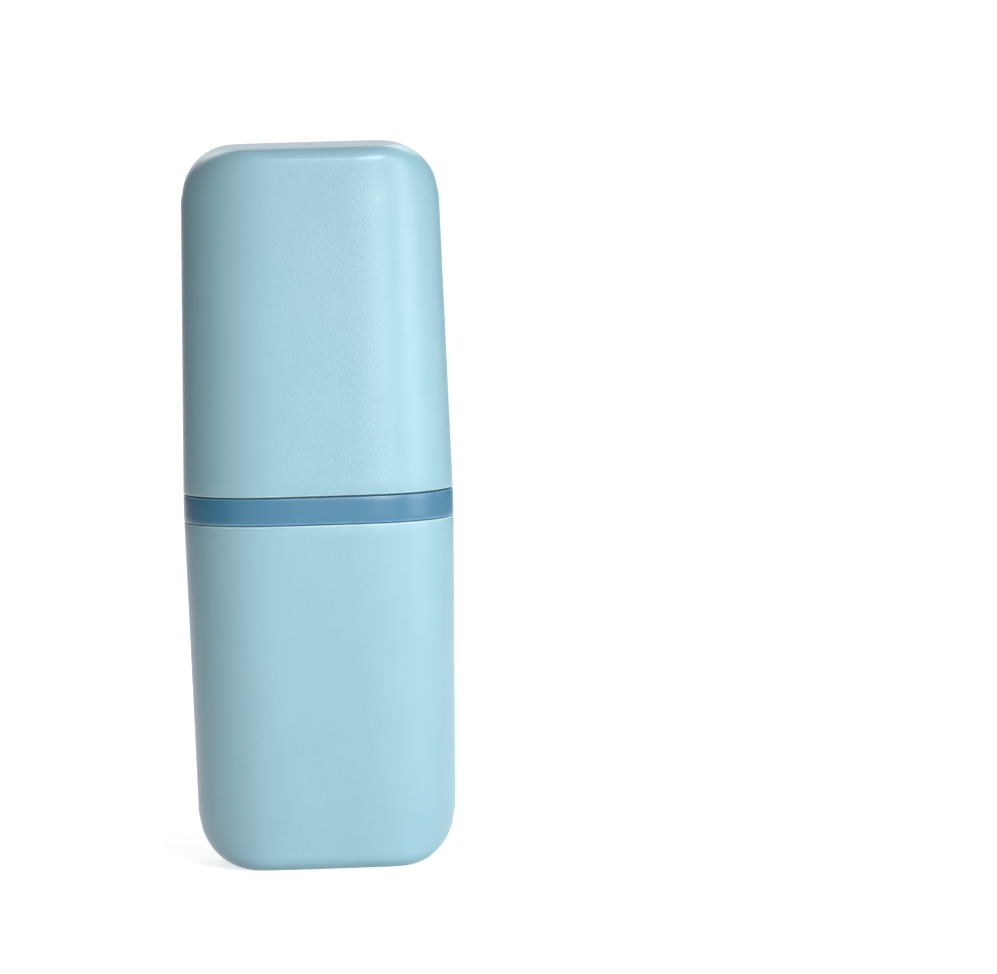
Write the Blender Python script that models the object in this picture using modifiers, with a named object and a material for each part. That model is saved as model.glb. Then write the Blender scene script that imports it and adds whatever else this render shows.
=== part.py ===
"""Toothbrush travel case: two drinking cups that meet, mouth to mouth, on a coloured coupling ring.

Blender 4.5, metres, +Z up. The case stands on the end face of the lower cup. The origin is the
middle of that face, the wide sides face -Y (front) and +Y (back), and X runs across the width.

Both cups come from one mould. The mouth is a rounded oblong with nearly semicircular sides. The
walls draw in towards the end by the mould's draft, and the end face is a small-cornered oblong,
so the skin is lofted between unlike sections and then given its wall with Solidify. The ring is
one profile carried round the same mouth outline: a visible band, flush with both cups, and a thin
neck that reaches up into one cup and down into the other.
"""

import math

import bmesh
import bpy

# Overall size
HEIGHT = 0.2050
WIDTH = 0.0768
DEPTH = 0.0500

# Shape of the cups
SIDE_RADIUS = 0.0239
FRONT_CROWN = 0.0008
DRAFT = 0.0203
END_CORNER_RADIUS = 0.0140
END_EDGE_RADIUS = 0.0040
END_FACE_MARGIN = 0.0012
SHOULDER = 0.0004
SHOULDER_HEIGHT = 0.0035
WALL = 0.0018
LIP_ROUNDING = 0.0004

# Coupling ring
LINE_TO_LINE = 0.0077
LIP_GAP = 0.0003
BAND_CHAMFER = 0.0003
NECK_REACH = 0.0095
NECK_CLEARANCE = 0.0003
NECK_WALL = 0.0014
NECK_LEAD_IN = 0.0004
BEAD_PROUD = 0.00018
BEAD_HALF_HEIGHT = 0.0008
BEAD_FROM_BAND = 0.0055

# Gate mark in the middle of each end face
GATE_RADIUS = 0.0014
GATE_DEPTH = 0.0004

# How finely curves are divided
CORNER_STEPS = 12
FACE_STEPS = 4
EDGE_STEPS = 6
END_CORNER_STEPS = 4
SHARP_ANGLE = math.radians(40)

# Worked out from the sizes above
BAND_HEIGHT = LINE_TO_LINE - LIP_GAP
CUP_HEIGHT = (HEIGHT - BAND_HEIGHT) / 2 - LIP_GAP
MIDDLE = HEIGHT / 2
NECK_INSET = WALL + NECK_CLEARANCE


def clear_scene():
    for obj in list(bpy.data.objects):
        bpy.data.objects.remove(obj, do_unlink=True)


def new_collection(name):
    collection = bpy.data.collections.new(name)
    bpy.context.scene.collection.children.link(collection)
    return collection


def plastic(name, colour, roughness):
    """An opaque moulded plastic. The colour is linear red, green and blue."""
    material = bpy.data.materials.new(name)
    material.use_nodes = True
    material.diffuse_color = (*colour, 1.0)
    shader = material.node_tree.nodes["Principled BSDF"]
    shader.inputs["Base Color"].default_value = (*colour, 1.0)
    shader.inputs["Roughness"].default_value = roughness
    shader.inputs["Metallic"].default_value = 0.0
    return material


def outline(half_width, half_depth, corner_radius, z):
    """One ring of points: an oblong with round corners and slightly bowed front and back faces."""
    flat_half_width = half_width - corner_radius
    flat_half_depth = half_depth - corner_radius
    points = []
    for quarter, (side_x, side_y) in enumerate(((1, 1), (-1, 1), (-1, -1), (1, -1))):
        for step in range(CORNER_STEPS + 1):
            angle = math.pi / 2 * (quarter + step / CORNER_STEPS)
            x = side_x * flat_half_width + corner_radius * math.cos(angle)
            y = side_y * flat_half_depth + corner_radius * math.sin(angle)
            points.append((x, y))
        if quarter in (0, 2):
            for step in range(1, FACE_STEPS):
                x = side_x * flat_half_width * (1 - 2 * step / FACE_STEPS)
                points.append((x, side_y * half_depth))
    bow = FRONT_CROWN / half_depth
    return [(x, y * (1 - bow * (x / half_width) ** 2), z) for x, y in points]


def drawn_in(distance, radius):
    """How far a quarter round of this radius has drawn in, at a distance from where it ends."""
    if distance >= radius:
        return 0.0
    return radius - math.sqrt(radius**2 - (radius - distance) ** 2)


def shoulder(z):
    """The end corners start a little inside the side walls, past a soft shoulder."""
    reached = (END_CORNER_RADIUS + SHOULDER_HEIGHT / 2 - z) / SHOULDER_HEIGHT
    reached = min(max(reached, 0.0), 1.0)
    return SHOULDER * reached**2 * (3 - 2 * reached)


def cup_section(z):
    """The outer skin at a height above the end face."""
    taper = DRAFT * (CUP_HEIGHT - z)
    half_width = WIDTH / 2 - taper - drawn_in(z, END_CORNER_RADIUS) - shoulder(z)
    half_depth = DEPTH / 2 - taper - drawn_in(z, END_EDGE_RADIUS)
    corner = SIDE_RADIUS - taper
    tightening = drawn_in(z, END_CORNER_RADIUS) / END_CORNER_RADIUS
    corner -= (corner - END_EDGE_RADIUS) * tightening
    return outline(half_width, half_depth, corner, z)


def end_face_margin():
    """The end face's outline moved in a little, so that its flat middle is shaded flat."""
    section = cup_section(0.0)
    along = 1 - END_FACE_MARGIN / max(x for x, _, _ in section)
    across = 1 - END_FACE_MARGIN / max(y for _, y, _ in section)
    return [(x * along, y * across, z) for x, y, z in section]


def mouth_section(inset, z):
    """The mouth outline moved in by an inset, for the coupling ring."""
    return outline(WIDTH / 2 - inset, DEPTH / 2 - inset, SIDE_RADIUS - inset, z)


def loft(name, sections, fill_first=False):
    """A skin of quads between neighbouring rings that all have the same number of points."""
    bm = bmesh.new()
    rings = [[bm.verts.new(point) for point in section] for section in sections]
    for lower, upper in zip(rings, rings[1:]):
        for i in range(len(lower)):
            j = (i + 1) % len(lower)
            bm.faces.new((lower[i], lower[j], upper[j], upper[i]))
    if fill_first:
        bm.faces.new(reversed(rings[0]))
    mesh = bpy.data.meshes.new(name)
    bm.to_mesh(mesh)
    bm.free()
    return mesh


def add_object(name, mesh, collection, material):
    obj = bpy.data.objects.new(name, mesh)
    collection.objects.link(obj)
    if not mesh.materials:
        mesh.materials.append(material)
    mesh.shade_smooth()
    mesh.set_sharp_from_angle(angle=SHARP_ANGLE)
    return obj


def cup_heights():
    """Heights of the rings, close together where the two end radii curve most, then the lip."""
    heights = []
    for step in range(EDGE_STEPS + 1):
        angle = math.pi / 2 * step / EDGE_STEPS
        heights.append(END_EDGE_RADIUS * (1 - math.cos(angle)))
    reached = math.acos(1 - END_EDGE_RADIUS / END_CORNER_RADIUS)
    for step in range(1, END_CORNER_STEPS + 1):
        angle = reached + (math.pi / 2 - reached) * step / END_CORNER_STEPS
        heights.append(END_CORNER_RADIUS * (1 - math.cos(angle)))
    heights.append(END_CORNER_RADIUS + SHOULDER_HEIGHT / 2)
    heights.append(CUP_HEIGHT)
    return heights


def gate_cutter(name, z, collection):
    """A small disc standing half in and half out of an end face."""
    mesh = bpy.data.meshes.new(name)
    bm = bmesh.new()
    bmesh.ops.create_cone(
        bm, cap_ends=True, segments=20, radius1=GATE_RADIUS, radius2=GATE_RADIUS, depth=2 * GATE_DEPTH
    )
    bm.to_mesh(mesh)
    bm.free()
    cutter = bpy.data.objects.new(name, mesh)
    cutter.location.z = z
    cutter.hide_render = True
    cutter.display_type = "WIRE"
    collection.objects.link(cutter)
    return cutter


def finish_cup(cup, cutter):
    """Wall, rounded lip and gate mark, in that order."""
    wall = cup.modifiers.new("wall", "SOLIDIFY")
    wall.thickness = WALL
    wall.offset = -1.0
    wall.use_even_offset = True
    wall.use_quality_normals = True
    lip = cup.modifiers.new("lip_rounding", "BEVEL")
    lip.width = LIP_ROUNDING
    lip.segments = 2
    lip.limit_method = "ANGLE"
    lip.angle_limit = math.radians(60)
    gate = cup.modifiers.new("gate_mark", "BOOLEAN")
    gate.operation = "DIFFERENCE"
    gate.solver = "EXACT"
    gate.object = cutter


def build_cups(parts, cutters, material):
    """Two copies of one moulding. The upper one is turned end over end about X."""
    sections = [end_face_margin()] + [cup_section(z) for z in cup_heights()]
    skin = loft("cup_skin", sections, fill_first=True)
    lower = add_object("lower_cup", skin, parts, material)
    finish_cup(lower, gate_cutter("lower_gate_cutter", 0.0, cutters))
    upper = add_object("upper_cup", skin, parts, material)
    upper.location.z = HEIGHT
    upper.rotation_euler.x = math.pi
    finish_cup(upper, gate_cutter("upper_gate_cutter", HEIGHT, cutters))
    return lower, upper


def ring_profile():
    """Inset and height from the ring's middle: up the bore, over the neck's tip and down outside.

    The neck leans with the cup's draft, so its clearance is the same from the band to the tip.
    """
    half_band = BAND_HEIGHT / 2
    tip = half_band + LIP_GAP + NECK_REACH

    def neck(z, out):
        return NECK_INSET + DRAFT * (z - half_band - LIP_GAP) - out, z

    bead = half_band + LIP_GAP + BEAD_FROM_BAND
    bore = NECK_INSET + NECK_WALL
    bore_tip = bore + DRAFT * NECK_REACH
    return [
        (bore, 0.0),
        (bore, half_band + LIP_GAP),
        (bore_tip, tip),
        neck(tip, -NECK_LEAD_IN),
        neck(tip - NECK_LEAD_IN, 0.0),
        neck(bead + BEAD_HALF_HEIGHT, 0.0),
        neck(bead, BEAD_PROUD),
        neck(bead - BEAD_HALF_HEIGHT, 0.0),
        neck(half_band, 0.0),
        (BAND_CHAMFER, half_band),
        (0.0, half_band - BAND_CHAMFER),
        (0.0, 0.0),
    ]


def build_ring(parts, material):
    """The upper half of the ring, mirrored at its middle plane."""
    half = loft("coupling_ring", [mouth_section(inset, z) for inset, z in ring_profile()])
    bm = bmesh.new()
    bm.from_mesh(half)
    bmesh.ops.reverse_faces(bm, faces=bm.faces)
    bm.to_mesh(half)
    bm.free()
    ring = add_object("coupling_ring", half, parts, material)
    ring.location.z = MIDDLE
    mirror = ring.modifiers.new("lower_half", "MIRROR")
    mirror.use_axis = (False, False, True)
    mirror.use_clip = True
    mirror.merge_threshold = 0.00005
    return ring


def build_case():
    clear_scene()
    parts = new_collection("toothbrush_travel_case")
    cutters = new_collection("cutters")
    shell_blue = plastic("light_blue_plastic", (0.40, 0.65, 0.75), 0.50)
    ring_blue = plastic("dark_blue_plastic", (0.08, 0.22, 0.40), 0.40)
    build_cups(parts, cutters, shell_blue)
    build_ring(parts, ring_blue)


build_case()
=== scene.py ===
"""Looks of the toothbrush travel case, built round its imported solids.

Metres, +Z up. The case stands on the floor at the origin, front towards -Y. Each moulding is made
again here with finer sections, its lip, gate mark and edges rounded as a moulded piece has them,
and takes the place of its solid.
"""

import math

import bpy
from mathutils import Matrix, Vector


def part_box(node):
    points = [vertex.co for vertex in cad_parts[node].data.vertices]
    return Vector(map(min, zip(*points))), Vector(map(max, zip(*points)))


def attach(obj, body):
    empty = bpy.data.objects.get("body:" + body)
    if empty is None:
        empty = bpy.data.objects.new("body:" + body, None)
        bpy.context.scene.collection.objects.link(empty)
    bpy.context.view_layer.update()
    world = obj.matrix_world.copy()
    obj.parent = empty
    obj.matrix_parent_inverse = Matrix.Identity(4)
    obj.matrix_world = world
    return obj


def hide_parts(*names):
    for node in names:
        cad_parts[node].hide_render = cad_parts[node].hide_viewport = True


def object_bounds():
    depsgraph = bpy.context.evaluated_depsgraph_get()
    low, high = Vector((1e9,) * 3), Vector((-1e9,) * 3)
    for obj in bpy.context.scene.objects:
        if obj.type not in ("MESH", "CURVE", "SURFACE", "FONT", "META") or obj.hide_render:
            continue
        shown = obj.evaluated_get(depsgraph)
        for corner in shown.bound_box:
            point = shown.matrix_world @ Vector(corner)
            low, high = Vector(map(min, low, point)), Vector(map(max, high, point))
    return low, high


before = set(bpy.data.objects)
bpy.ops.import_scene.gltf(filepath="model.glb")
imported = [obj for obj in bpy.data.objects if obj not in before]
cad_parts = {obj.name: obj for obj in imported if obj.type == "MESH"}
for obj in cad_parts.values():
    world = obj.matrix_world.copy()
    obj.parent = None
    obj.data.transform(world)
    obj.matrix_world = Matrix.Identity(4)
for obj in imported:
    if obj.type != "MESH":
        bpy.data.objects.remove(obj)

cad_low, cad_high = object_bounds()

# Sizes read from the frame
RING_LOW, RING_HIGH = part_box("coupling_ring")
HEIGHT = cad_high.z
WIDTH = RING_HIGH.x - RING_LOW.x
DEPTH = RING_HIGH.y - RING_LOW.y
MIDDLE = (RING_LOW.z + RING_HIGH.z) / 2

# Driving sizes, the same as the solids'
SIDE_RADIUS = 0.0239
FRONT_CROWN = 0.0008
DRAFT = 0.0203
END_CORNER_RADIUS = 0.0140
END_EDGE_RADIUS = 0.0040
END_FACE_MARGIN = 0.0012
SHOULDER = 0.0004
SHOULDER_HEIGHT = 0.0035
WALL = 0.0018
LINE_TO_LINE = 0.0077
LIP_GAP = 0.0003
NECK_CLEARANCE = 0.0003
NECK_WALL = 0.0014
BEAD_PROUD = 0.00018
BEAD_HALF_HEIGHT = 0.0008
BEAD_FROM_BAND = 0.0055
GATE_RADIUS = 0.0014
GATE_DEPTH = 0.0004

# Worked out from the sizes above
BAND_HEIGHT = LINE_TO_LINE - LIP_GAP
CUP_HEIGHT = (HEIGHT - BAND_HEIGHT) / 2 - LIP_GAP
NECK_INSET = WALL + NECK_CLEARANCE

# Fine edges, made more closely here than on the solids. The short lips widen both joint lines, and
# the band's lower edge, moved down, narrows the lower one again.
CORNER_EASING = 0.30
LIP_SHORT = 0.00012
LIP_HEIGHT = CUP_HEIGHT - LIP_SHORT
LIP_ROUNDING = 0.00035
BAND_ROUNDING = 0.00030
LOWER_BAND_EXTRA = 0.00020
NECK_TIP_ROUNDING = 0.0004
NECK_FILLET = 0.00015
FILLET_MIDDLE = 0.3
GATE_FLOOR_MARGIN = 0.00025
GATE_BLEND = 0.00008
GATE_SURROUND = 0.0010
VESTIGE_RADIUS = 0.0005

# How finely the surfaces are divided
CORNER_STEPS = 26
FACE_STEPS = 18
EDGE_STEPS = 12
END_CORNER_STEPS = 10
SHOULDER_STEPS = 3
WALL_STEPS = 24
ROUND_STEPS = 4
BORE_STEPS = 5
BEAD_STEPS = 6

# Colours, as linear red, green and blue
SHELL_COLOUR = (0.340, 0.595, 0.696)
SHELL_SHADE = (0.324, 0.579, 0.680)
# Painted highlight: the paler colour that the cups' lip rims are mixed towards
SHELL_PAINTED_HIGHLIGHT = (0.52, 0.76, 0.78)
RING_COLOUR = (0.026, 0.206, 0.356)
RING_SHADE = (0.021, 0.198, 0.348)
# Painted highlight: the paler colour that the band's rims are mixed towards
RING_PAINTED_HIGHLIGHT = (0.105, 0.31, 0.49)
PAPER_COLOUR = (0.60, 0.60, 0.60)

# Painted highlights on the rims: how far they reach, how softly they end and how unevenly noise breaks
# them up
PAINTED_HIGHLIGHT_REACH = 0.0005
PAINTED_HIGHLIGHT_FADE = 0.0002
PAINTED_HIGHLIGHT_UNEVENNESS = 0.00012

# Texture of the plastics, with the parts of each noise's range that are used
MOTTLE_SCALE = 55.0
MOTTLE_LOW = 0.35
MOTTLE_HIGH = 0.65
# Scale of the noise that breaks up the painted rim highlights
PAINTED_HIGHLIGHT_NOISE_SCALE = 260.0
GLOSS_SCALE = 900.0
GLOSS_SPREAD = 0.02
NOISE_LOW = 0.3
NOISE_HIGH = 0.7

# Paper sweep
PAPER_WIDTH = 1.1
PAPER_FRONT = -1.2
PAPER_BACK = 1.6
PAPER_TOP = 1.6
SWEEP_RADIUS = 0.5
SWEEP_STEPS = 24
NEAR_GLOW = 0.72
NEAR_DISTANCE = 0.15
FAR_GLOW = 0.96
FAR_DISTANCE = 0.75

# Lamps: name, azimuth and elevation in degrees, width and height, spread in degrees, and power
AMBIENT = 0.16
LAMP_DISTANCE = 0.7
LAMPS = (
    ("key", 24.0, 20.0, 0.90, 0.40, 50.0, 0.98),
    ("side_softbox", 95.0, 2.0, 1.40, 0.24, 90.0, 0.20),
    ("strip", 66.0, 6.0, 0.36, 0.24, 120.0, 0.40),
    ("fill", -25.0, 2.0, 0.90, 0.24, 180.0, 0.30),
    ("back_left", -150.0, 38.0, 0.4, 0.3, 180.0, 0.9),
    ("back_right", 150.0, 38.0, 0.4, 0.3, 180.0, 0.9),
)

# The photograph's frame, and where the middle of the case falls in it
PHOTO_WIDTH = 997
PHOTO_HEIGHT = 974
CASE_PIXEL = (317.65, 498.06)
PIXELS_PER_METRE = 3503.9
CAMERA_DISTANCE = 2.484
CAMERA_AZIMUTH = math.radians(-1.879)
CAMERA_ELEVATION = math.radians(4.749)
CAMERA_ROLL = math.radians(-1.625)
SENSOR_WIDTH = 36.0


# Sections of the mouldings


def eased_drop(x, corner_radius, flat_half_width):
    """How much further than its arc a corner has dropped, so that it starts without a visible line."""
    reach = CORNER_EASING * corner_radius
    past = abs(x) - flat_half_width
    if past >= reach:
        return reach**2 / (6 * corner_radius)
    along = max((past + reach) / (2 * reach), 0.0)
    return (2 * reach**2 / 3 * along**3 - max(past, 0.0) ** 2 / 2) / corner_radius


def outline(half_width, half_depth, corner_radius, z):
    """One ring of points: an oblong with round corners and slightly bowed front and back faces."""
    flat_half_width = half_width - corner_radius
    flat_half_depth = half_depth - corner_radius
    points = []
    for quarter, (side_x, side_y) in enumerate(((1, 1), (-1, 1), (-1, -1), (1, -1))):
        for step in range(CORNER_STEPS + 1):
            angle = math.pi / 2 * (quarter + step / CORNER_STEPS)
            x = side_x * flat_half_width + corner_radius * math.cos(angle)
            y = side_y * flat_half_depth + corner_radius * math.sin(angle)
            points.append((x, y))
        if quarter in (0, 2):
            for step in range(1, FACE_STEPS):
                x = side_x * flat_half_width * (1 - 2 * step / FACE_STEPS)
                points.append((x, side_y * half_depth))
    bow = FRONT_CROWN / half_depth
    ring = []
    for x, y in points:
        eased = eased_drop(x, corner_radius, flat_half_width) / half_depth
        ring.append((x, y * (1 - bow * (x / half_width) ** 2 - eased), z))
    return ring


def drawn_in(distance, radius):
    """How far a quarter round of this radius has drawn in, at a distance from where it ends."""
    if distance >= radius:
        return 0.0
    return radius - math.sqrt(radius**2 - (radius - distance) ** 2)


def shoulder(z):
    """The end corners start a little inside the side walls, past a soft shoulder."""
    reached = (END_CORNER_RADIUS + SHOULDER_HEIGHT / 2 - z) / SHOULDER_HEIGHT
    reached = min(max(reached, 0.0), 1.0)
    return SHOULDER * reached**2 * (3 - 2 * reached)


def cup_section(z, depth_in=0.0):
    """The skin at a height above the end face, or the surface at a depth inside it."""
    taper = DRAFT * (CUP_HEIGHT - z)
    end_corner = END_CORNER_RADIUS - depth_in
    end_edge = END_EDGE_RADIUS - depth_in
    from_end = max(z - depth_in, 0.0)
    half_width = WIDTH / 2 - depth_in - taper - drawn_in(from_end, end_corner) - shoulder(z)
    half_depth = DEPTH / 2 - depth_in - taper - drawn_in(from_end, end_edge)
    corner = SIDE_RADIUS - depth_in - taper
    tightening = drawn_in(from_end, end_corner) / end_corner
    corner -= (corner - end_edge) * tightening
    return outline(half_width, half_depth, corner, z)


def mouth_section(inset, z):
    """The mouth outline moved in by an inset."""
    return outline(WIDTH / 2 - inset, DEPTH / 2 - inset, SIDE_RADIUS - inset, z)


def rounding(radius, downward=False):
    """Offsets in from the side and down from the top, going up and over an edge or back down it."""
    offsets = []
    for step in range(ROUND_STEPS + 1):
        angle = math.pi / 2 * step / ROUND_STEPS
        offsets.append((radius * (1 - math.cos(angle)), radius * (1 - math.sin(angle))))
    return offsets[::-1] if downward else offsets


# Cups


def end_heights(depth_in):
    """Heights from an end surface to the top of its corner round, closest where it curves most."""
    end_corner = END_CORNER_RADIUS - depth_in
    end_edge = END_EDGE_RADIUS - depth_in
    heights = []
    for step in range(EDGE_STEPS + 1):
        angle = math.pi / 2 * step / EDGE_STEPS
        heights.append(depth_in + end_edge * (1 - math.cos(angle)))
    reached = math.acos(1 - end_edge / end_corner)
    for step in range(1, END_CORNER_STEPS + 1):
        angle = reached + (math.pi / 2 - reached) * step / END_CORNER_STEPS
        heights.append(depth_in + end_corner * (1 - math.cos(angle)))
    return heights


def wall_heights():
    """Heights above the corner rounds: close together over the shoulder, then even to the lip."""
    top_of_shoulder = END_CORNER_RADIUS + SHOULDER_HEIGHT / 2
    heights = []
    for step in range(1, SHOULDER_STEPS):
        heights.append(END_CORNER_RADIUS + SHOULDER_HEIGHT / 2 * step / SHOULDER_STEPS)
    length = LIP_HEIGHT - LIP_ROUNDING - top_of_shoulder
    for step in range(WALL_STEPS):
        heights.append(top_of_shoulder + length * step / WALL_STEPS)
    return heights


def end_face_margin(section):
    """An end face's outline moved in a little, so that its flat middle is shaded flat."""
    along = 1 - END_FACE_MARGIN / max(x for x, _, _ in section)
    across = 1 - END_FACE_MARGIN / max(y for _, y, _ in section)
    return [(x * along, y * across, z) for x, y, z in section]


def round_ring(section, radius, z):
    """A circle whose points lie in the same directions as the section's."""
    ring = []
    for x, y, _ in section:
        length = math.hypot(x, y)
        ring.append((radius * x / length, radius * y / length, z))
    return ring


def gate_rings(section):
    """Rings of the gate mark: a shallow round recess with the cut stub of the gate in it."""
    profile = [
        (VESTIGE_RADIUS * 0.5, GATE_DEPTH * 0.35),
        (VESTIGE_RADIUS * 0.9, GATE_DEPTH * 0.40),
        (VESTIGE_RADIUS, GATE_DEPTH * 0.95),
        (VESTIGE_RADIUS * 1.15, GATE_DEPTH),
        (GATE_RADIUS - GATE_FLOOR_MARGIN, GATE_DEPTH),
        (GATE_RADIUS - GATE_BLEND, GATE_DEPTH * 0.70),
        (GATE_RADIUS, GATE_DEPTH * 0.12),
        (GATE_RADIUS + GATE_BLEND, 0.0),
        (GATE_RADIUS + GATE_SURROUND, 0.0),
    ]
    return [round_ring(section, radius, z) for radius, z in profile]


def lip_rings():
    """Rings over the lip, from the outer wall to the inner one."""
    rings = []
    for inward, down in rounding(LIP_ROUNDING):
        rings.append(mouth_section(inward, LIP_HEIGHT - down))
    for inward, down in rounding(LIP_ROUNDING, downward=True):
        rings.append(mouth_section(WALL - inward, LIP_HEIGHT - down))
    return rings


def cup_mesh():
    """One cup, end face at z = 0 and mouth up, as a closed skin."""
    outside = [cup_section(z) for z in end_heights(0.0) + wall_heights()]
    inside = [cup_section(z, WALL) for z in end_heights(WALL) + wall_heights()]
    rings = gate_rings(outside[0]) + [end_face_margin(outside[0])] + outside
    rings += lip_rings() + inside[::-1] + [end_face_margin(inside[0])]
    return loft("cup", rings)


# Coupling ring


def ring_profile(half_band):
    """Inset and height above the ring's middle, round the upper half from the bore to the band."""
    base = BAND_HEIGHT / 2 + LIP_GAP
    tip = RING_HIGH.z - MIDDLE
    bore = NECK_INSET + NECK_WALL
    bore_tip = bore + DRAFT * (tip - base)

    def neck(z, out=0.0):
        return NECK_INSET + DRAFT * (z - base) - out, z

    profile = [(bore, 0.0), (bore, base * 0.5), (bore, base)]
    for step in range(1, BORE_STEPS):
        z = base + (tip - base) * step / BORE_STEPS
        profile.append((bore + (bore_tip - bore) * step / BORE_STEPS, z))
    for outward, down in rounding(NECK_TIP_ROUNDING):
        profile.append((bore_tip - outward, tip - down))
    for inward, down in rounding(NECK_TIP_ROUNDING, downward=True):
        profile.append(neck(tip - down, -inward))
    bead = base + BEAD_FROM_BAND
    for step in range(-BEAD_STEPS, BEAD_STEPS + 1):
        swell = 0.5 * (1 + math.cos(math.pi * step / BEAD_STEPS))
        profile.append(neck(bead - BEAD_HALF_HEIGHT * step / BEAD_STEPS, BEAD_PROUD * swell))
    profile.append(neck(half_band + NECK_FILLET))
    middle = NECK_FILLET * FILLET_MIDDLE
    profile.append((NECK_INSET - middle, half_band + middle))
    profile.append((NECK_INSET - NECK_FILLET, half_band))
    for inward, down in rounding(BAND_ROUNDING, downward=True):
        profile.append((inward, half_band - down))
    profile.append((0.0, half_band * 0.5))
    return profile


def ring_mesh():
    """The coupling ring, middle at z = 0, as a closed band. It sits closer to the lower cup."""
    upper = ring_profile(BAND_HEIGHT / 2)
    lower = ring_profile(BAND_HEIGHT / 2 + LOWER_BAND_EXTRA)
    mirrored = [(inset, -z) for inset, z in reversed(lower) if z > 0.0]
    whole = upper + [(0.0, 0.0)] + mirrored
    sections = [mouth_section(inset, z) for inset, z in whole]
    return loft("coupling", sections, closed=True, flip=True)


# Meshes and objects


def loft(name, rings, closed=False, flip=False):
    """Quads between neighbouring rings, capped at both ends or joined into a loop."""
    count = len(rings[0])
    points = [point for ring in rings for point in ring]
    faces = []
    pairs = [(i, i + 1) for i in range(len(rings) - 1)]
    if closed:
        pairs.append((len(rings) - 1, 0))
    for first, second in pairs:
        for i in range(count):
            j = (i + 1) % count
            quad = (first * count + i, first * count + j, second * count + j, second * count + i)
            faces.append(quad[::-1] if flip else quad)
    if not closed:
        faces.append(tuple(reversed(range(count))))
        faces.append(tuple((len(rings) - 1) * count + i for i in range(count)))
    mesh = bpy.data.meshes.new(name)
    mesh.from_pydata(points, [], faces)
    mesh.validate()
    mesh.shade_smooth()
    return mesh


def new_object(name, data, location=(0.0, 0.0, 0.0), turn_x=0.0):
    obj = bpy.data.objects.new(name, data)
    bpy.context.scene.collection.objects.link(obj)
    obj.location = location
    obj.rotation_euler.x = turn_x
    return obj


# Materials


def new_material(name):
    material = bpy.data.materials.new(name)
    material.use_nodes = True
    nodes = material.node_tree.nodes
    nodes.clear()
    output = nodes.new("ShaderNodeOutputMaterial")
    return material, nodes, material.node_tree.links, output


def add_noise(nodes, links, vector, scale, detail=2.0, roughness=0.5):
    node = nodes.new("ShaderNodeTexNoise")
    node.inputs["Scale"].default_value = scale
    node.inputs["Detail"].default_value = detail
    node.inputs["Roughness"].default_value = roughness
    links.new(vector, node.inputs["Vector"])
    return node.outputs["Fac"]


def add_math(nodes, links, operation, *values, clamped=False):
    """One operation on one or two values, each of them a socket or a plain number."""
    node = nodes.new("ShaderNodeMath")
    node.operation = operation
    node.use_clamp = clamped
    for socket, value in zip(node.inputs, values):
        if isinstance(value, float):
            socket.default_value = value
        else:
            links.new(value, socket)
    return node.outputs[0]


def map_range(nodes, links, value, low, high, to_low, to_high):
    node = nodes.new("ShaderNodeMapRange")
    node.inputs["From Min"].default_value = low
    node.inputs["From Max"].default_value = high
    node.inputs["To Min"].default_value = to_low
    node.inputs["To Max"].default_value = to_high
    links.new(value, node.inputs["Value"])
    return node.outputs["Result"]


def mix_colours(nodes, links, factor, first, second):
    """One colour turning into another. The first may be a socket."""
    node = nodes.new("ShaderNodeMix")
    node.data_type = "RGBA"
    if isinstance(first, tuple):
        node.inputs["A"].default_value = (*first, 1.0)
    else:
        links.new(first, node.inputs["A"])
    node.inputs["B"].default_value = (*second, 1.0)
    links.new(factor, node.inputs["Factor"])
    return node.outputs["Result"]


def painted_rim_highlight(nodes, links, place, edge_height):
    """Painted highlight mask: 1 within reach of a height above and below the object's middle, and 0
    away from it, its reach broken up by noise.
    """
    split = nodes.new("ShaderNodeSeparateXYZ")
    links.new(place, split.inputs[0])
    height = add_math(nodes, links, "ABSOLUTE", split.outputs["Z"])
    apart = add_math(nodes, links, "SUBTRACT", height, edge_height)
    distance = add_math(nodes, links, "ABSOLUTE", apart)
    patchy = add_noise(nodes, links, place, PAINTED_HIGHLIGHT_NOISE_SCALE, detail=3.0)
    unevenness = map_range(nodes, links, patchy, NOISE_LOW, NOISE_HIGH, -PAINTED_HIGHLIGHT_UNEVENNESS, PAINTED_HIGHLIGHT_UNEVENNESS)
    uneven_distance = add_math(nodes, links, "ADD", distance, unevenness)
    return map_range(nodes, links, uneven_distance, PAINTED_HIGHLIGHT_REACH - PAINTED_HIGHLIGHT_FADE, PAINTED_HIGHLIGHT_REACH, 1.0, 0.0)


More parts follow.
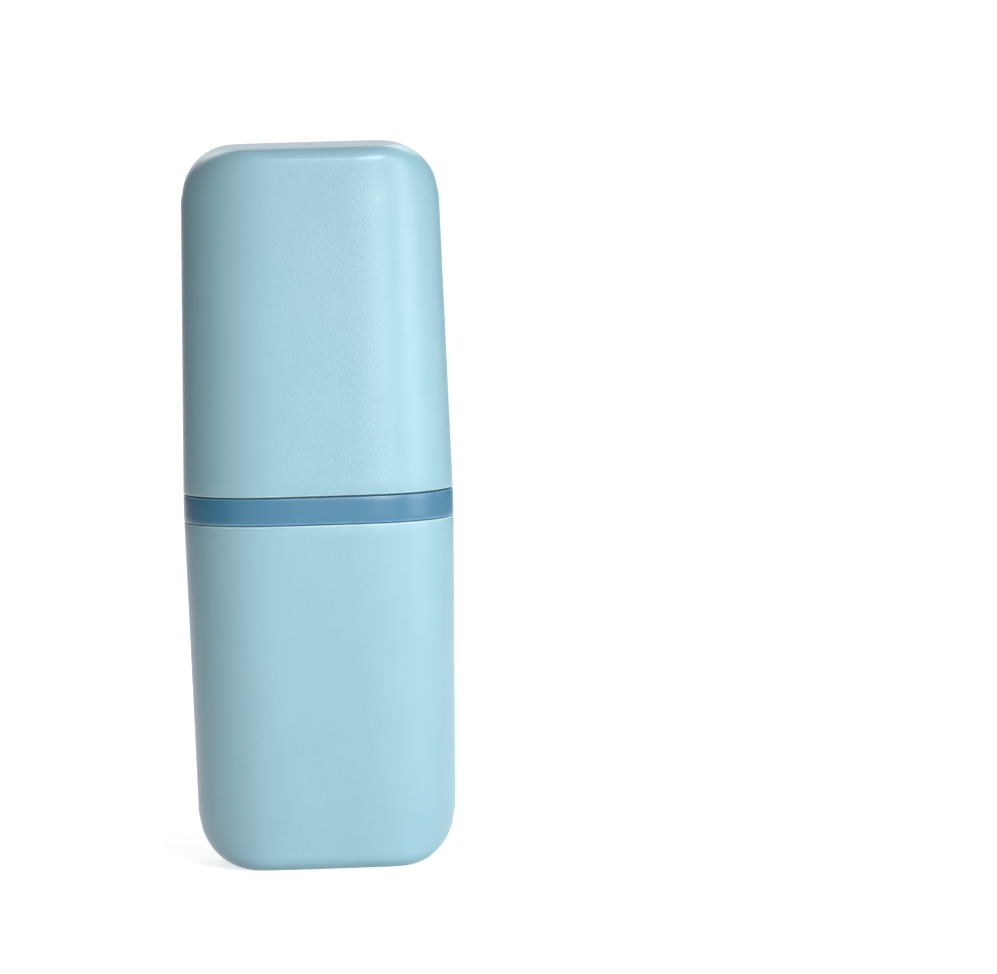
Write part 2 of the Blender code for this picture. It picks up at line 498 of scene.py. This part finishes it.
def moulded_plastic(name, colour, shade, edge, edge_height, roughness, ior, grain_scale, grain_depth):
    """A moulded plastic with a fine grain, a faint mottle in its colour, uneven gloss and painted
    highlights at rims.
    """
    material, nodes, links, output = new_material(name)
    shader = nodes.new("ShaderNodeBsdfPrincipled")
    place = nodes.new("ShaderNodeTexCoord").outputs["Object"]

    mottle = add_noise(nodes, links, place, MOTTLE_SCALE, detail=6.0, roughness=0.65)
    shading = map_range(nodes, links, mottle, MOTTLE_LOW, MOTTLE_HIGH, 0.0, 1.0)
    mottled = mix_colours(nodes, links, shading, colour, shade)
    # Painted highlight: near the rims the mottled colour turns to a paler one
    rim_highlight = painted_rim_highlight(nodes, links, place, edge_height)
    links.new(mix_colours(nodes, links, rim_highlight, mottled, edge), shader.inputs["Base Color"])

    uneven = add_noise(nodes, links, place, GLOSS_SCALE)
    smoothest = roughness - GLOSS_SPREAD
    roughest = roughness + GLOSS_SPREAD
    gloss = map_range(nodes, links, uneven, NOISE_LOW, NOISE_HIGH, smoothest, roughest)
    links.new(gloss, shader.inputs["Roughness"])
    shader.inputs["IOR"].default_value = ior

    grain = add_noise(nodes, links, place, grain_scale, detail=3.0, roughness=0.6)
    bump = nodes.new("ShaderNodeBump")
    bump.inputs["Strength"].default_value = 1.0
    bump.inputs["Distance"].default_value = grain_depth
    links.new(grain, bump.inputs["Height"])
    links.new(bump.outputs["Normal"], shader.inputs["Normal"])
    links.new(shader.outputs["BSDF"], output.inputs["Surface"])
    return material


def light_blue_plastic():
    """The cups' plastic, with a painted highlight at the lip."""
    return moulded_plastic(
        "light_blue_plastic",
        SHELL_COLOUR,
        SHELL_SHADE,
        SHELL_PAINTED_HIGHLIGHT,
        edge_height=LIP_HEIGHT,
        roughness=0.34,
        ior=1.70,
        grain_scale=1500.0,
        grain_depth=0.00005,
    )


def dark_blue_plastic():
    """The ring's plastic, a little glossier, with a painted highlight at both edges of the band."""
    return moulded_plastic(
        "dark_blue_plastic",
        RING_COLOUR,
        RING_SHADE,
        RING_PAINTED_HIGHLIGHT,
        edge_height=BAND_HEIGHT / 2,
        roughness=0.30,
        ior=1.85,
        grain_scale=1400.0,
        grain_depth=0.00004,
    )


# The case


def build_case():
    """Both cups share one mesh. The upper one is turned end over end about X."""
    cup = cup_mesh()
    cup.materials.append(light_blue_plastic())
    lower = new_object("lower_cup_shell", cup)
    upper = new_object("upper_cup_shell", cup, (0.0, 0.0, HEIGHT), math.pi)
    coupling = ring_mesh()
    coupling.materials.append(dark_blue_plastic())
    ring = new_object("coupling_ring_band", coupling, (0.0, 0.0, MIDDLE))
    for piece, body, node, slot in (
        (lower, "lower", "lower_cup", "light_blue_plastic"),
        (ring, "ring", "coupling_ring", "dark_blue_plastic"),
        (upper, "upper", "upper_cup", "light_blue_plastic"),
    ):
        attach(piece, body)
        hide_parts(node)


# Stage, light and camera


def seen_directly(nodes, links):
    """1 for rays from the camera and for reflected and refracted rays, and 0 for the rest."""
    path = nodes.new("ShaderNodeLightPath")
    total = path.outputs["Is Camera Ray"]
    for name in ("Is Glossy Ray", "Is Transmission Ray"):
        total = add_math(nodes, links, "ADD", total, path.outputs[name], clamped=True)
    return total


def paper_material():
    """Pale paper. Seen directly or reflected it also glows, more so further away. Clear from behind."""
    material, nodes, links, output = new_material("studio_paper")
    diffuse = nodes.new("ShaderNodeBsdfDiffuse")
    diffuse.inputs["Color"].default_value = (*PAPER_COLOUR, 1.0)
    away = nodes.new("ShaderNodeVectorMath")
    away.operation = "LENGTH"
    links.new(nodes.new("ShaderNodeTexCoord").outputs["Object"], away.inputs[0])
    distance = away.outputs["Value"]
    rising = map_range(nodes, links, distance, NEAR_DISTANCE, FAR_DISTANCE, NEAR_GLOW, FAR_GLOW)
    strength = add_math(nodes, links, "MULTIPLY", seen_directly(nodes, links), rising)
    glow = nodes.new("ShaderNodeEmission")
    links.new(strength, glow.inputs["Strength"])
    both = nodes.new("ShaderNodeAddShader")
    links.new(diffuse.outputs[0], both.inputs[0])
    links.new(glow.outputs[0], both.inputs[1])
    one_sided = nodes.new("ShaderNodeMixShader")
    links.new(nodes.new("ShaderNodeNewGeometry").outputs["Backfacing"], one_sided.inputs["Fac"])
    links.new(both.outputs[0], one_sided.inputs[1])
    links.new(nodes.new("ShaderNodeBsdfTransparent").outputs[0], one_sided.inputs[2])
    links.new(one_sided.outputs[0], output.inputs["Surface"])
    return material


def build_stage():
    """A roll of pale paper: a floor that curves up into a backdrop."""
    bend = PAPER_BACK - SWEEP_RADIUS
    profile = [(PAPER_FRONT, 0.0), (bend, 0.0)]
    for step in range(1, SWEEP_STEPS + 1):
        angle = math.pi / 2 * step / SWEEP_STEPS
        up = SWEEP_RADIUS * (1 - math.cos(angle))
        profile.append((bend + SWEEP_RADIUS * math.sin(angle), up))
    profile.append((PAPER_BACK, PAPER_TOP))
    points = [(x, y, z) for y, z in profile for x in (-PAPER_WIDTH / 2, PAPER_WIDTH / 2)]
    faces = [(2 * i, 2 * i + 1, 2 * i + 3, 2 * i + 2) for i in range(len(profile) - 1)]
    mesh = bpy.data.meshes.new("studio_sweep")
    mesh.from_pydata(points, [], faces)
    mesh.shade_smooth()
    mesh.materials.append(paper_material())
    new_object("studio_sweep", mesh)


def build_world():
    """An even white surround: white to the camera, and a low level of light to the rest."""
    world = bpy.data.worlds.new("studio")
    bpy.context.scene.world = world
    world.use_nodes = True
    nodes = world.node_tree.nodes
    links = world.node_tree.links
    background = nodes["Background"]
    background.inputs["Color"].default_value = (1.0, 1.0, 1.0, 1.0)
    camera_ray = nodes.new("ShaderNodeLightPath").outputs["Is Camera Ray"]
    strength = map_range(nodes, links, camera_ray, 0.0, 1.0, AMBIENT, 1.0)
    links.new(strength, background.inputs["Strength"])


def build_lamps():
    """Softboxes, each at an azimuth and elevation from the middle of the case, facing it."""
    target = Vector((0.0, 0.0, HEIGHT / 2))
    for name, azimuth, elevation, width, height, spread, power in LAMPS:
        lamp = bpy.data.lights.new(name, "AREA")
        lamp.shape = "RECTANGLE"
        lamp.size = width
        lamp.size_y = height
        lamp.spread = math.radians(spread)
        lamp.energy = power
        turn = math.radians(azimuth)
        rise = math.radians(elevation)
        level = math.cos(rise)
        away = Vector((math.sin(turn) * level, -math.cos(turn) * level, math.sin(rise)))
        obj = new_object(name, lamp, target + away * LAMP_DISTANCE)
        obj.rotation_euler = (-away).to_track_quat("-Z", "Y").to_euler()
        obj.visible_camera = False


def build_camera():
    """The photograph's view. The case is off the frame's middle, so the camera points beside it."""
    focal_pixels = PIXELS_PER_METRE * CAMERA_DISTANCE
    camera = bpy.data.cameras.new("camera")
    camera.sensor_width = SENSOR_WIDTH
    camera.lens = focal_pixels / PHOTO_WIDTH * SENSOR_WIDTH
    sideways = math.sin(CAMERA_AZIMUTH) * math.cos(CAMERA_ELEVATION)
    frontways = -math.cos(CAMERA_AZIMUTH) * math.cos(CAMERA_ELEVATION)
    back = Vector((sideways, frontways, math.sin(CAMERA_ELEVATION)))
    forward = -back
    right = forward.cross(Vector((0.0, 0.0, 1.0))).normalized()
    up = right.cross(forward)
    pan = math.atan2(CASE_PIXEL[0] - (PHOTO_WIDTH - 1) / 2, focal_pixels)
    tilt = math.atan2(CASE_PIXEL[1] - (PHOTO_HEIGHT - 1) / 2, focal_pixels)
    panned_right = right * math.cos(pan) + forward * math.sin(pan)
    panned_forward = forward * math.cos(pan) - right * math.sin(pan)
    tilted_up = up * math.cos(tilt) - panned_forward * math.sin(tilt)
    tilted_forward = up * math.sin(tilt) + panned_forward * math.cos(tilt)
    rolled_right = panned_right * math.cos(CAMERA_ROLL) + tilted_up * math.sin(CAMERA_ROLL)
    rolled_up = tilted_up * math.cos(CAMERA_ROLL) - panned_right * math.sin(CAMERA_ROLL)
    turn = Matrix((rolled_right, rolled_up, -tilted_forward)).transposed().to_4x4()
    middle = Vector((0.0, 0.0, HEIGHT / 2))
    obj = new_object("camera", camera)
    obj.matrix_world = Matrix.Translation(middle + back * CAMERA_DISTANCE) @ turn
    bpy.context.scene.camera = obj


build_case()
build_stage()
build_world()
build_lamps()
build_camera()
bpy.context.scene.view_settings.view_transform = "Standard"
